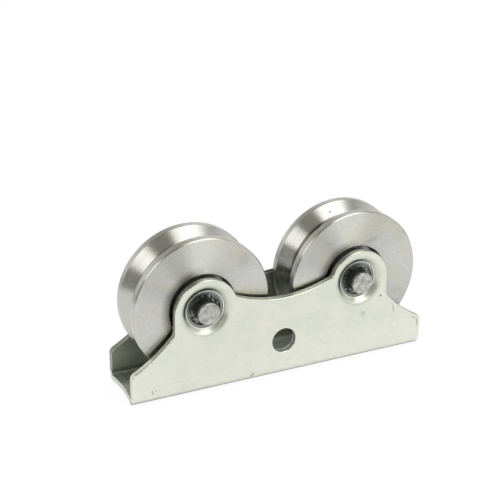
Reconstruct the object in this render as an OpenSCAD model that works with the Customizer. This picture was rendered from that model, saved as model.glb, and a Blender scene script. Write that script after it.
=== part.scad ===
// Twin V groove wheel bracket for a sliding gate or door, with two ball-bearing wheels.
// The bracket stands on its web: X runs along it, Y across it and Z up.
// The origin is the middle of the underside. The wheels turn about axes along Y.

/* [Wheels] */
// Outer diameter of a wheel
wheel_d = 40; // [38:0.5:44]
// Width of a wheel across its faces
wheel_w = 13; // [12:0.1:15]
// Width of the flat land on each side of the groove
land_w = 2.3; // [1.8:0.1:3]
// Angle between the flanks of the groove
groove_angle = 90; // [80:1:110]
// Width of the narrow flat at the bottom of the groove
groove_root_w = 0.8; // [0.4:0.1:1.5]
// Turned chamfer on the corners of the rim
rim_chamfer = 0.35; // [0.2:0.05:0.6]
// Chamfer at the mouths of the bore
mouth_chamfer = 0.3; // [0.2:0.05:0.6]
// Height of the shoulder that the bearing is pressed against
shoulder_h = 1.1; // [0.8:0.1:1.3]
// Gap between the rims of the two wheels
wheel_gap = 7.5; // [6:0.5:12]
// Radius of the dent in the rim of the right wheel
nick_r = 0.9; // [0.5:0.1:1.2]

/* [Bearings] */
// Outer diameter of the ball bearing
bearing_od = 19; // [18.6:0.1:20]
// Bore of the ball bearing
bearing_id = 6; // [5.6:0.1:6.2]
// Width of the ball bearing
bearing_w = 6; // [5.8:0.1:7]
// Diameter of a ball
ball_d = 3.5; // [3.3:0.05:3.6]
// Number of balls
ball_count = 7; // [6:1:7]
// Depth of the raceways below the shoulders of the rings
race_depth = 0.4; // [0.3:0.05:0.5]
// Thickness of the pressed sheet of the cage
cage_t = 0.35; // [0.3:0.05:0.4]
// Width of the cage band, from its inner to its outer edge
cage_w = 1.5; // [1.3:0.1:1.6]
// Radius of a cage rivet
rivet_r = 0.28; // [0.2:0.02:0.32]
// How far a rivet's head reaches past its shank
rivet_head_w = 0.15; // [0.1:0.01:0.18]
// Height of a rivet's head
rivet_head_h = 0.2; // [0.1:0.02:0.25]
// Thickness of a bearing shield
shield_t = 0.3; // [0.2:0.05:0.35]
// Depth of the recess that holds a shield
shield_seat = 0.5; // [0.4:0.05:0.55]
// Width of that recess, outwards from the shoulder of the outer ring
shield_seat_w = 0.7; // [0.5:0.05:0.9]
// Gap between a shield and the inner ring
shield_gap = 0.25; // [0.15:0.05:0.4]
// Outward step pressed into a shield
shield_step = 0.15; // [0.1:0.01:0.16]
// How far inside the recess that step starts
shield_step_in = 0.2; // [0.15:0.05:0.4]
// Corner chamfer of the bearing rings
ring_chamfer = 0.3; // [0.2:0.05:0.4]

/* [Bracket] */
// Thickness of the folded sheet
sheet_t = 1.8; // [1.5:0.1:2.2]
// Inner radius of the two folds
fold_r = 0.5; // [0.4:0.1:1.5]
// Gap between a wheel and each wall
side_gap = 0.95; // [0.8:0.05:1.5]
// Gap between a wheel and the web below it
web_gap = 2.8; // [1.5:0.1:5]
// How far the bracket reaches past each axle
end_reach = 21.75; // [20:0.25:26]
// Height of the upright edge at each end
end_h = 9.2; // [7:0.1:11]
// Radius of the ears about the axles
ear_r = 9.2; // [8.8:0.1:10]
// Radius of the hollow curve between an ear and the end
slope_r = 40; // [30:1:60]
// How far below the axle that curve meets the ear
slope_drop = 5.5; // [5:0.1:7.5]
// Radius of the saddle between the ears
saddle_r = 36; // [30:1:45]
// How far the lowest point of the saddle is below the axles
saddle_drop = 0.45; // [0:0.05:2]
// Fillet between an ear and the saddle
saddle_fillet = 2; // [1:0.1:3]
// Fillet between an ear and the end curve
slope_fillet = 3; // [1.5:0.1:4]
// Rounding of the upper corners at the ends
end_round = 2; // [0.8:0.1:2.5]
// Depth of the hollow in each end of the web
web_notch = 0.6; // [0.3:0.05:1.2]
// Diameter of the fixing hole through both walls
fixing_d = 7.2; // [5:0.1:8.2]
// Height of the fixing hole above the underside
fixing_h = 10.8; // [8:0.1:13]

/* [Dishes round the axles] */
// Radius at which a dish starts
dish_r = 8; // [7.8:0.05:8.4]
// Radius of the rolled lip of a dish
lip_r = 2; // [1:0.1:2.4]
// Outer radius of the flat ring pressed into the dish
ring_r = 5.6; // [5.3:0.05:5.8]
// Depth of that ring below the wall
ring_depth = 1.25; // [1:0.05:1.4]
// Width of that ring
ring_w = 0.3; // [0.2:0.05:0.5]
// Step from the ring down to the ledge inside it
ledge_step = 0.15; // [0.1:0.05:0.3]
// Radius of the pocket round the axle
pocket_r = 4.6; // [4.2:0.05:4.8]
// Depth of the pocket below the wall
pocket_depth = 2.3; // [2:0.05:2.4]
// Thickness of the floor of the pocket
floor_t = 0.9; // [0.7:0.05:1.2]
// Rounding at the back of a dish
back_round = 0.8; // [0.4:0.1:1]
// How far the flat back of a dish reaches past the ring
back_past = 0.3; // [0.1:0.05:0.6]

/* [Axles] */
// How far an axle end stands proud of the wall
axle_proud = 1.86; // [1:0.02:2.5]
// Diameter of the upset ends of an axle
axle_head_d = 6.4; // [6.3:0.05:7]
// Chamfer on the axle ends
axle_chamfer = 0.3; // [0.2:0.05:0.5]
// Outer diameter of a spacer collar
spacer_d = 9; // [8.4:0.1:9.4]

/* [Fits] */
// Radial gap of the axle in the rings, spacers and walls
axle_fit = 0.02; // [0.01:0.01:0.05]
// Radial gap between bearing and wheel, and between a shield and its seat
press_fit = 0.01; // [0.01:0.005:0.03]
// Gap between a ball and the raceways
race_fit = 0.03; // [0.02:0.01:0.05]
// Gap between a ball and its cage pocket
pocket_fit = 0.06; // [0.04:0.01:0.1]
// End play of a spacer collar
end_play = 0.02; // [0.01:0.01:0.05]

/* [Hidden] */

$fn = 96;
LEFT = -1;
RIGHT = 1;
FRONT = 1;
BACK = -1;
PAST = 1;                                     // how far a cutter runs past the face it cuts

wheel_r = wheel_d / 2;
bore_r = bearing_od / 2 + press_fit;
groove_half_w = wheel_w / 2 - land_w;
groove_root_r = wheel_r - (groove_half_w - groove_root_w / 2) / tan(groove_angle / 2);

pitch_r = (bearing_od + bearing_id) / 4;      // circle of the ball centres
ball_r = ball_d / 2;
inner_land_r = pitch_r - ball_r + race_depth;
outer_land_r = pitch_r + ball_r - race_depth;
shield_r = outer_land_r + shield_seat_w;      // outer edge of the shields
shield_bore_r = inner_land_r + shield_gap;
rivet_head_r = rivet_r + rivet_head_w;

axle_r = bearing_id / 2 - axle_fit;
axle_x = (wheel_d + wheel_gap) / 2;
axle_h = sheet_t + web_gap + wheel_r;
channel_w = wheel_w + 2 * (side_gap + sheet_t);
wall_y = channel_w / 2;                       // outer face of a wall
bracket_l = 2 * (axle_x + end_reach);
dish_depth = pocket_depth + floor_t;          // from the outer face to the back of a dish
back_r = ring_r + back_past;                  // flat back of a dish
spacer_l = wall_y - dish_depth - bearing_w / 2 - end_play;
nick_at = 124;                                // place of the dent round the rim, in degrees from +X

// ---- Geometry helpers -------------------------------------------------------------------------

// Places its children at one axle, seen from the front: local Z points to the front (-Y).
module at_axle(side) {
    translate([side * axle_x, 0, axle_h]) rotate([90, 0, 0]) children();
}

// A tube with chamfered outer corners, centred on the origin along Z
module ring(r_in, r_out, h, chamfer = 0) {
    rotate_extrude() polygon([
        [r_in, -h / 2], [r_out - chamfer, -h / 2], [r_out, chamfer - h / 2],
        [r_out, h / 2 - chamfer], [r_out - chamfer, h / 2], [r_in, h / 2]
    ]);
}

// Centre of the circle of radius r through p and q, on the left of the way from p to q
function centre_left(p, q, r) =
    let (d = q - p, half = norm(d) / 2, n = [-d[1], d[0]] / norm(d))
    (p + q) / 2 + n * sqrt(r * r - half * half);

// The meeting point of two circles that lies on the left of the way from a to b
function circles_meet(a, ra, b, rb) =
    let (d = norm(b - a), u = (b - a) / d, along = (ra * ra - rb * rb + d * d) / (2 * d))
    a + u * along + [-u[1], u[0]] * sqrt(ra * ra - along * along);

// Lower point of the circle (c, r) at the abscissa x
function low_point(c, r, x) = [x, c[1] - sqrt(r * r - (x - c[0]) * (x - c[0]))];

// Point at distance r from c, in the direction of p
function towards(c, p, r) = c + (p - c) / norm(p - c) * r;

// Where the line from point p touches the circle (c, r), clockwise of p as seen from the centre
function touch_point(p, c, r) =
    let (d = norm(c - p), a = atan2(p[1] - c[1], p[0] - c[0]) - acos(r / d))
    c + r * [cos(a), sin(a)];

// The corner between two edges that a circle (c, r) rounds: from one touching point to the other
module corner(from, tip, to, c, r) {
    difference() {
        polygon([from, tip, to]);
        translate(c) circle(r);
    }
}

// ---- Bracket ----------------------------------------------------------------------------------

ear = [axle_x, axle_h];
flank_x = axle_x + ear_r;                                     // upright outer flank of an ear
end_top = [bracket_l / 2, end_h];
slope_top = [flank_x, axle_h - slope_drop];
slope_c = centre_left(slope_top, end_top, slope_r);
saddle_c = [0, axle_h - saddle_drop + saddle_r];

// Half of the outline of a wall, x > 0: an ear, a saddle towards the middle and a slope to the end
module half_outline() {
    meet = circles_meet(ear, ear_r, saddle_c, saddle_r);      // ear and saddle, without the fillet
    saddle_f = circles_meet(ear, ear_r + saddle_fillet, saddle_c, saddle_r - saddle_fillet);
    slope_f = low_point(slope_c, slope_r - slope_fillet, flank_x + slope_fillet);
    top_f = low_point(slope_c, slope_r + end_round, end_top[0] - end_round);

    difference() {
        union() {
            difference() {
                polygon([[0, 0], [end_top[0], 0], end_top, slope_top, [0, slope_top[1]]]);
                translate(slope_c) circle(slope_r, $fn = 240);
            }
            translate([axle_x - ear_r, slope_top[1] - PAST]) square([2 * ear_r, slope_drop + PAST]);
            difference() {
                square([meet[0] + PAST, meet[1]]);
                translate(saddle_c) circle(saddle_r, $fn = 240);
            }
            translate(ear) circle(ear_r);
            corner(towards(ear, saddle_f, ear_r), meet - [0, ear_r / 2],
                   towards(saddle_c, saddle_f, saddle_r), saddle_f, saddle_fillet);
            corner([flank_x, slope_f[1]], slope_top - [ear_r / 2, 0],
                   towards(slope_c, slope_f, slope_r), slope_f, slope_fillet);
        }
        corner([end_top[0], top_f[1]], end_top + [PAST, PAST],
               towards(top_f, slope_c, end_round), top_f, end_round);
    }
}

// Cross-section of the channel, closed far above the wheels: web, folds and walls
module channel_section() {
    outer_r = fold_r + sheet_t;
    top = axle_h + ear_r + PAST;
    difference() {
        rounded_slot(channel_w, outer_r, 0, top);
        rounded_slot(channel_w - 2 * sheet_t, fold_r, sheet_t, top + PAST);
    }
}

// An upright rectangle from y = low to y = high with its two lower corners rounded
module rounded_slot(w, r, low, high) {
    translate([-w / 2, low + r]) square([w, high - low - r]);
    translate([r - w / 2, low]) square([w - 2 * r, r + PAST]);
    for (side = [-1, 1]) translate([side * (w / 2 - r), low + r]) circle(r);
}

// Section of a dished wall round an axle: x is the radius, y = 0 the wall's outer face
module dish_section() {
    lip_c = [dish_r, -lip_r];
    ring_edge = [ring_r, -ring_depth];
    lip_end = touch_point(ring_edge, lip_c, lip_r);
    inner_r = bearing_id / 2;
    difference() {
        polygon([
            [inner_r, -dish_depth], [back_r - back_round, -dish_depth], [back_r, back_round / 2 - dish_depth],
            [dish_r, -sheet_t], [dish_r + PAST / 2, -sheet_t], [dish_r + PAST / 2, 0], [inner_r, 0]
        ]);
        difference() {
            polygon([[0, PAST], [dish_r, PAST], [dish_r, 0], lip_end, ring_edge, [0, -ring_depth]]);
            translate(lip_c) circle(lip_r);
        }
        square([2 * (ring_r - ring_w), 2 * (ring_depth + ledge_step)], center = true);
        square([2 * pocket_r, 2 * pocket_depth], center = true);
    }
}

module bracket() color([0.87, 0.88, 0.82]) {
    difference() {
        intersection() {
            rotate([90, 0, 0]) linear_extrude(channel_w + PAST, center = true) {
                half_outline();
                mirror([1, 0]) half_outline();
            }
            rotate([90, 0, 90]) linear_extrude(bracket_l + PAST, center = true) channel_section();
        }
        for (side = [LEFT, RIGHT]) {
            at_axle(side) cylinder(r = dish_r, h = channel_w + PAST, center = true);
            web_hollow(side);
        }
        translate([0, 0, fixing_h]) rotate([90, 0, 0])
            cylinder(d = fixing_d, h = channel_w + PAST, center = true);
    }
    for (side = [LEFT, RIGHT], face = [FRONT, BACK])
        at_axle(side) rotate([face == FRONT ? 0 : 180, 0, 0])
            translate([0, 0, wall_y]) rotate_extrude() dish_section();
}

// The shallow arc cut from one end of the web, between the folds
module web_hollow(side) {
    half_w = channel_w / 2 - sheet_t - fold_r;
    hollow_r = (half_w * half_w + web_notch * web_notch) / (2 * web_notch);
    translate([side * (bracket_l / 2 + hollow_r - web_notch), 0, sheet_t / 2])
        cylinder(r = hollow_r, h = sheet_t + PAST, center = true, $fn = 240);
}

// ---- Wheels -----------------------------------------------------------------------------------

// The corners of one half of a wheel's section, from its bore of radius inner_r out to the groove
function flange_points(inner_r) = [
    [inner_r, wheel_w / 2 - mouth_chamfer], [inner_r + mouth_chamfer, wheel_w / 2],
    [wheel_r - rim_chamfer, wheel_w / 2], [wheel_r, wheel_w / 2 - rim_chamfer],
    [wheel_r, groove_half_w], [groove_root_r, groove_root_w / 2]
];

// Section of a wheel: x is the radius, and y runs to the front
module wheel_section() {
    front = flange_points(bore_r);
    back = flange_points(bore_r - shoulder_h);
    polygon(concat(
        front,
        [for (i = [len(back) - 1 : -1 : 0]) [back[i][0], -back[i][1]]],
        [[bore_r - shoulder_h, -bearing_w / 2], [bore_r, -bearing_w / 2]]
    ));
}

// The bearing goes in from the front and stops at a shoulder at the back.
module wheel(nicked = false) color([0.78, 0.78, 0.77]) difference() {
    rotate_extrude($fn = 180) wheel_section();
    if (nicked) rotate([0, 0, nick_at])
        translate([wheel_r + nick_r / 2, 0, groove_half_w]) sphere(nick_r);
}

// ---- Ball bearings ----------------------------------------------------------------------------

// Circle of the raceways, cut from both rings
module raceway() {
    translate([pitch_r, 0]) circle(ball_r + race_fit);
}

module bearing_outer_ring() color([0.7, 0.71, 0.73]) difference() {
    ring(outer_land_r, bearing_od / 2, bearing_w, ring_chamfer);
    rotate_extrude() raceway();
    for (face = [FRONT, BACK])
        translate([0, 0, face * bearing_w / 2])
            cylinder(r = shield_r + press_fit, h = 2 * shield_seat, center = true);
}

module bearing_inner_ring() color([0.7, 0.71, 0.73]) difference() {
    ring(bearing_id / 2, inner_land_r, bearing_w);
    rotate_extrude() raceway();
}

// Places its children at each ball, or halfway between the balls
module round_pitch(offset = 0) {
    for (i = [0 : ball_count - 1])
        rotate([0, 0, (i + offset) * 360 / ball_count]) translate([pitch_r, 0, 0]) children();
}

module bearing_balls() color([0.82, 0.83, 0.85]) round_pitch() sphere(ball_r);

// One half of the ribbon cage: a flat band pressed into a cup round each ball
module cage_half(face) color([0.72, 0.66, 0.5]) difference() {
    intersection() {
        union() {
            translate([0, 0, face * cage_t / 2]) cylinder(r = pitch_r + cage_w / 2, h = cage_t, center = true);
            round_pitch() sphere(ball_r + pocket_fit + cage_t);
        }
        translate([0, 0, face * bearing_w / 4]) ring(pitch_r - cage_w / 2, pitch_r + cage_w / 2, bearing_w / 2);
    }
    round_pitch() sphere(ball_r + pocket_fit);
    round_pitch(1 / 2) cylinder(r = rivet_r, h = bearing_w, center = true);
}

module cage_rivets() color([0.6, 0.58, 0.55]) round_pitch(1 / 2) {
    cylinder(r = rivet_r - press_fit, h = 2 * (cage_t + rivet_head_h), center = true);
    for (face = [FRONT, BACK])
        translate([0, 0, face * (cage_t + rivet_head_h / 2)])
            cylinder(r = rivet_head_r, h = rivet_head_h, center = true);
}

// A pressed shield: a flat disc that steps outwards, seated in the outer ring
module bearing_shield(face) color([0.66, 0.67, 0.69])
    rotate([face == FRONT ? 0 : 180, 0, 0]) translate([0, 0, bearing_w / 2 - shield_seat]) {
        step = shield_step;
        step_r = outer_land_r - shield_step_in;
        rotate_extrude() polygon([
            [step_r + step, 0], [shield_r, 0], [shield_r, shield_t], [step_r, shield_t],
            [step_r - step, shield_t + step], [shield_bore_r, shield_t + step], [shield_bore_r, step],
            [step_r, step]
        ]);
    }

// ---- Axles and collars ------------------------------------------------------------------------

// A collar between the bearing's inner ring and the dished wall
module spacer(face) color([0.72, 0.72, 0.7])
    translate([0, 0, face * (bearing_w + spacer_l + end_play) / 2])
        ring(bearing_id / 2, spacer_d / 2, spacer_l, axle_chamfer);

// A pin whose two ends are upset in the pockets of the walls
module axle() color([0.75, 0.74, 0.72]) {
    head_from = wall_y - pocket_depth + end_play;
    head_to = wall_y + axle_proud;
    cylinder(r = axle_r, h = 2 * head_from, center = true);
    for (face = [FRONT, BACK])
        translate([0, 0, face * (head_from + head_to) / 2])
            ring(0, axle_head_d / 2, head_to - head_from, axle_chamfer);
}

// ---- Nodes ------------------------------------------------------------------------------------

bracket();

at_axle(LEFT) wheel();  // left_wheel
at_axle(LEFT) bearing_outer_ring();  // left_bearing_outer_ring
at_axle(LEFT) bearing_inner_ring();  // left_bearing_inner_ring
at_axle(LEFT) bearing_balls();  // left_bearing_balls
at_axle(LEFT) cage_half(FRONT);  // left_cage_front
at_axle(LEFT) cage_half(BACK);  // left_cage_back
at_axle(LEFT) cage_rivets();  // left_cage_rivets
at_axle(LEFT) bearing_shield(FRONT);  // left_shield_front
at_axle(LEFT) bearing_shield(BACK);  // left_shield_back
at_axle(LEFT) spacer(FRONT);  // left_spacer_front
at_axle(LEFT) spacer(BACK);  // left_spacer_back
at_axle(LEFT) axle();  // left_axle

at_axle(RIGHT) wheel(nicked = true);  // right_wheel
at_axle(RIGHT) bearing_outer_ring();  // right_bearing_outer_ring
at_axle(RIGHT) bearing_inner_ring();  // right_bearing_inner_ring
at_axle(RIGHT) bearing_balls();  // right_bearing_balls
at_axle(RIGHT) cage_half(FRONT);  // right_cage_front
at_axle(RIGHT) cage_half(BACK);  // right_cage_back
at_axle(RIGHT) cage_rivets();  // right_cage_rivets
at_axle(RIGHT) bearing_shield(FRONT);  // right_shield_front
at_axle(RIGHT) bearing_shield(BACK);  // right_shield_back
at_axle(RIGHT) spacer(FRONT);  // right_spacer_front
at_axle(RIGHT) spacer(BACK);  // right_spacer_back
at_axle(RIGHT) axle();  // right_axle
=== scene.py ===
"""Looks of a twin V groove wheel bracket: a folded zinc-plated channel with two turned steel wheels."""

import math

import bmesh
import bpy
from mathutils import Matrix, Vector
from mathutils.geometry import delaunay_2d_cdt


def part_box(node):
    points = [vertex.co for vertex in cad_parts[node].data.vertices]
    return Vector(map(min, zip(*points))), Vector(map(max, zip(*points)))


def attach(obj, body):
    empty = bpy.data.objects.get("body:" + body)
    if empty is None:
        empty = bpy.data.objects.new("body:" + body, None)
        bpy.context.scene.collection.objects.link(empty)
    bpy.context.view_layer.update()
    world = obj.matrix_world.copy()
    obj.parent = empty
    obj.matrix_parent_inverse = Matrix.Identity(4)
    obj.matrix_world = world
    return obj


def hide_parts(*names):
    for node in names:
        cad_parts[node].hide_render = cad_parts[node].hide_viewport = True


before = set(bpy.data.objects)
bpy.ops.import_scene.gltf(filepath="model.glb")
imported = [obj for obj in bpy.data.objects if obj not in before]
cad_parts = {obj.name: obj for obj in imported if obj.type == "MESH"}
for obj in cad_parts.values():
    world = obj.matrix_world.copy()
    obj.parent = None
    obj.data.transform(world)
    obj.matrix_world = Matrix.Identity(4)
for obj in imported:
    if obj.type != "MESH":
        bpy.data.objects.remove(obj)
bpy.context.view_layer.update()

MM = 0.001
SIDES = ("left", "right")
RING_CLEARANCE = 0.01
WELD = 0.002


# ---- Sizes, in millimetres ------------------------------------------------------------------------

def box_mm(node):
    """The lowest and highest corners of a CAD node, in millimetres."""
    low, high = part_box(node)
    return low / MM, high / MM


wheel_low, wheel_high = box_mm("right_wheel")
_, bracket_high = box_mm("bracket")
axle_low, axle_high = box_mm("right_axle")
ring_low, ring_high = box_mm("right_bearing_outer_ring")

WHEEL_R = (wheel_high.z - wheel_low.z) / 2
WHEEL_W = wheel_high.y - wheel_low.y
AXLE_X = (wheel_high.x + wheel_low.x) / 2
AXLE_H = (wheel_high.z + wheel_low.z) / 2
AXLE_R = (axle_high.z - axle_low.z) / 2
AXLE_END = axle_high.y
BORE_R = (ring_high.z - ring_low.z) / 2 + RING_CLEARANCE
BEARING_W = ring_high.y - ring_low.y
WALL_Y = bracket_high.y
HALF_L = bracket_high.x
EAR_R = bracket_high.z - AXLE_H

LAND_W = 2.3
GROOVE_ROOT_W = 0.8
GROOVE_HALF_W = WHEEL_W / 2 - LAND_W
GROOVE_ROOT_R = WHEEL_R - (GROOVE_HALF_W - GROOVE_ROOT_W / 2)
RIM_CHAMFER = 0.35
MOUTH_CHAMFER = 0.3
SHOULDER_H = 1.1

SHEET_T = 1.8
FOLD_R = 0.5
END_H = 9.2
SLOPE_R = 40.0
SLOPE_DROP = 5.5
SADDLE_R = 36.0
SADDLE_DROP = 0.45
SADDLE_FILLET = 2.0
SLOPE_FILLET = 3.0
END_ROUND = 2.0
WEB_NOTCH = 0.6
FIXING_R = 3.6
FIXING_H = 10.8

DISH_R = 8.0
LIP_R = 2.5
RING_R = 5.6
RING_DEPTH = 1.25
RING_W = 0.3
LEDGE_DEPTH = RING_DEPTH + 0.15
POCKET_R = 4.6
POCKET_DEPTH = 2.3
DISH_BACK = POCKET_DEPTH + 0.9
DISH_BACK_R = RING_R + 0.3
PIN_HOLE_R = 3.0


# ---- Mesh helpers ---------------------------------------------------------------------------------

def join_and_orient(mesh):
    """Joins points that coincide and turns every face outwards."""
    work = bmesh.new()
    work.from_mesh(mesh)
    bmesh.ops.remove_doubles(work, verts=work.verts, dist=WELD * MM)
    bmesh.ops.recalc_face_normals(work, faces=work.faces)
    work.to_mesh(mesh)
    work.free()


def add_piece(name, points, faces, body, replaced, materials, material_at=None, sharp_deg=40):
    """A smooth-shaded mesh piece from points in millimetres, riding on a body in place of a CAD node."""
    mesh = bpy.data.meshes.new(name)
    mesh.from_pydata([Vector(p) * MM for p in points], [], faces)
    mesh.validate()
    join_and_orient(mesh)
    for material in materials:
        mesh.materials.append(material)
    if material_at:
        for face in mesh.polygons:
            face.material_index = material_at(face.center / MM)
    mesh.polygons.foreach_set("use_smooth", [True] * len(mesh.polygons))
    mesh.set_sharp_from_angle(angle=math.radians(sharp_deg))
    piece = bpy.data.objects.new(name, mesh)
    bpy.context.scene.collection.objects.link(piece)
    weighting = piece.modifiers.new("flat faces stay flat", "WEIGHTED_NORMAL")
    weighting.keep_sharp = True
    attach(piece, body)
    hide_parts(replaced)


def rounded(corners, steps=3):
    """A closed outline whose corners (x, y, radius) are replaced by arcs."""
    path = []
    for i, (x, y, radius) in enumerate(corners):
        tip = Vector((x, y))
        if radius == 0:
            path.append(tip)
            continue
        back = Vector(corners[i - 1][:2]) - tip
        ahead = Vector(corners[(i + 1) % len(corners)][:2]) - tip
        half = back.angle(ahead) / 2
        reach = min(radius / math.tan(half), 0.45 * back.length, 0.45 * ahead.length)
        centre = tip + (back.normalized() + ahead.normalized()).normalized() * reach / math.cos(half)
        path += arc(centre, tip + back.normalized() * reach, tip + ahead.normalized() * reach, steps)
    return path


def arc(centre, start, end, steps):
    """Points on the shorter arc about a centre, from start to end, both included."""
    radius = (start - centre).length
    from_angle = math.atan2(start.y - centre.y, start.x - centre.x)
    turn = math.atan2(end.y - centre.y, end.x - centre.x) - from_angle
    turn = (turn + math.pi) % (2 * math.pi) - math.pi
    angles = [from_angle + turn * k / steps for k in range(steps + 1)]
    return [centre + radius * Vector((math.cos(a), math.sin(a))) for a in angles]


def lathe(section, centre_x, segments):
    """Points and faces of a closed section (radius, y) turned about an axle along Y."""
    points, faces = [], []
    count = len(section)
    for j in range(segments):
        angle = 2 * math.pi * j / segments
        points += [(centre_x + p.x * math.cos(angle), p.y, AXLE_H + p.x * math.sin(angle)) for p in section]
        here, there = j * count, (j + 1) % segments * count
        for i in range(count):
            k = (i + 1) % count
            faces.append((here + i, here + k, there + k, there + i))
    return points, faces


# ---- Shader node groups ---------------------------------------------------------------------------

class Nodes:
    """Adds nodes to a node tree and links them, with plain values where an input isn't linked."""

    def __init__(self, tree):
        self.tree = tree

    def add(self, kind, inputs=None, **settings):
        node = self.tree.nodes.new(kind)
        for key, value in settings.items():
            setattr(node, key, value)
        for key, value in (inputs or {}).items():
            self.put(node.inputs[key], value)
        return node

    def put(self, socket, value):
        """Links or sets an input. A plain colour is (red, green, blue)."""
        if isinstance(value, bpy.types.NodeSocket):
            self.tree.links.new(value, socket)
        else:
            socket.default_value = (*value, 1) if socket.type == "RGBA" else value

    def math(self, operation, *values):
        node = self.add("ShaderNodeMath", operation=operation)
        for socket, value in zip(node.inputs, values):
            self.put(socket, value)
        return node.outputs[0]

    def times(self, first, *others):
        """Product of masks and plain factors."""
        for value in others:
            first = self.math("MULTIPLY", first, value)
        return first

    def most(self, first, *others):
        """The strongest of several masks."""
        for value in others:
            first = self.math("MAXIMUM", first, value)
        return first

    def remap(self, value, low, high, to_low=0.0, to_high=1.0):
        node = self.add("ShaderNodeMapRange", {
            "Value": value, "From Min": low, "From Max": high, "To Min": to_low, "To Max": to_high})
        return node.outputs["Result"]

    def band(self, value, middle, half_width, core, strength=1.0):
        """A soft band round a value: the strength in its core, 0 beyond its half width."""
        away = self.math("ABSOLUTE", self.math("SUBTRACT", value, middle))
        return self.remap(away, half_width, core, 0.0, strength)

    def mix(self, factor, a, b):
        node = self.add("ShaderNodeMix", data_type="RGBA")
        for index, value in ((0, factor), (6, a), (7, b)):
            self.put(node.inputs[index], value)
        return node.outputs[2]

    def vector(self, operation, inputs, output="Vector"):
        return self.add("ShaderNodeVectorMath", inputs, operation=operation).outputs[output]


def new_group(name, inputs, outputs):
    """An empty shader group with (name, default) inputs and named plain outputs."""
    tree = bpy.data.node_groups.new(name, "ShaderNodeTree")
    for label, default in inputs:
        kind = "NodeSocketVector" if isinstance(default, tuple) else "NodeSocketFloat"
        tree.interface.new_socket(label, in_out="INPUT", socket_type=kind).default_value = default
    for label in outputs:
        tree.interface.new_socket(label, in_out="OUTPUT", socket_type="NodeSocketFloat")
    n = Nodes(tree)
    return n, n.add("NodeGroupInput").outputs, n.add("NodeGroupOutput").inputs


def scaled_place(n, scale=1.0):
    """The place on the piece at rest, in millimetres times a scale."""
    place = n.add("ShaderNodeTexCoord").outputs["Object"]
    return n.vector("SCALE", {0: place, 3: n.math("MULTIPLY", scale, 1 / MM)})


def coordinates(n):
    """X, Y and Z of the place on the piece at rest, in millimetres."""
    return n.add("ShaderNodeSeparateXYZ", {0: scaled_place(n)}).outputs


def build_axle_distance():
    """Distance from the nearer axle, in millimetres, and the angle about it."""
    n, _, out = new_group("Distance from axle", [], ["Radius", "Angle"])
    x, _, z = coordinates(n)
    dx = n.math("SUBTRACT", x, n.times(n.math("SIGN", x), AXLE_X))
    dz = n.math("SUBTRACT", z, AXLE_H)
    n.put(out["Radius"], n.math("SQRT", n.math("ADD", n.times(dx, dx), n.times(dz, dz))))
    n.put(out["Angle"], n.math("ARCTAN2", dz, dx))
    return n.tree


def build_turning_marks(axle_distance):
    """Fine and broad rings left by a lathe tool, as heights from 0 to 1."""
    n, given, out = new_group("Turning marks", [("Rings per mm", 6.0), ("Uneven", 0.2)], ["Fine", "Broad"])
    radius = n.add("ShaderNodeGroup", node_tree=axle_distance).outputs["Radius"]
    along = n.math("ADD", radius, n.times(coordinates(n)[1], 0.83))
    drift = n.add("ShaderNodeTexNoise", {"Vector": scaled_place(n, 0.12), "Detail": 1.0}).outputs["Fac"]
    track = n.math("ADD", along, n.times(drift, given["Uneven"]))
    for label, rings_per_mm, detail in (("Fine", given["Rings per mm"], 2.0), ("Broad", 0.9, 1.0)):
        across = {"W": n.times(track, rings_per_mm), "Scale": 1.0, "Detail": detail}
        rings = n.add("ShaderNodeTexNoise", across, noise_dimensions="1D")
        n.put(out[label], rings.outputs["Fac"])
    return n.tree


def build_clouds():
    """Soft uneven patches of a given size, from 0 to 1."""
    n, given, out = new_group(
        "Clouds", [("Size mm", 8.0), ("Low", 0.35), ("High", 0.65), ("Shift", (0.0, 0.0, 0.0))], ["Mask"])
    place = scaled_place(n, n.math("DIVIDE", 1.0, given["Size mm"]))
    moved = n.vector("ADD", {0: place, 1: given["Shift"]})
    cloud = n.add("ShaderNodeTexNoise", {"Vector": moved, "Scale": 1.0, "Detail": 4.0, "Roughness": 0.55})
    n.put(out["Mask"], n.remap(cloud.outputs["Fac"], given["Low"], given["High"]))
    return n.tree


def build_specks():
    """Scattered small pits and specks: 1 in the middle of a speck, 0 between them."""
    n, given, out = new_group("Specks", [("Spacing mm", 1.5), ("Size", 0.12), ("Share", 0.3)], ["Mask"])
    place = scaled_place(n, n.math("DIVIDE", 1.0, given["Spacing mm"]))
    cells = n.add("ShaderNodeTexVoronoi", {"Vector": place, "Scale": 1.0, "Randomness": 1.0}).outputs
    near = n.remap(cells["Distance"], given["Size"], 0.0)
    lot = n.add("ShaderNodeSeparateColor", {0: cells["Color"]}).outputs[0]
    n.put(out["Mask"], n.times(near, n.math("LESS_THAN", lot, given["Share"])))
    return n.tree


def build_scratches():
    """Thin handling scratches that run mostly one way: 1 in a scratch, 0 elsewhere."""
    n, given, out = new_group(
        "Scratches", [("Stretch", (0.15, 1.0, 2.2)), ("Width", 0.02), ("Share", 0.35)], ["Mask"])
    place = n.vector("MULTIPLY", {0: scaled_place(n), 1: given["Stretch"]})
    lines = n.add("ShaderNodeTexNoise", {"Vector": place, "Scale": 0.55, "Detail": 1.5, "Distortion": 0.4})
    line = n.band(lines.outputs["Fac"], 0.5, given["Width"], 0.0)
    patches = n.add("ShaderNodeTexNoise", {"Vector": scaled_place(n, 0.13), "Scale": 1.0, "Detail": 2.0})
    shown = n.remap(patches.outputs["Fac"], n.math("SUBTRACT", 0.85, given["Share"]), 0.75)
    n.put(out["Mask"], n.times(line, shown))
    return n.tree


RAGGED = 0.35


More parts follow.
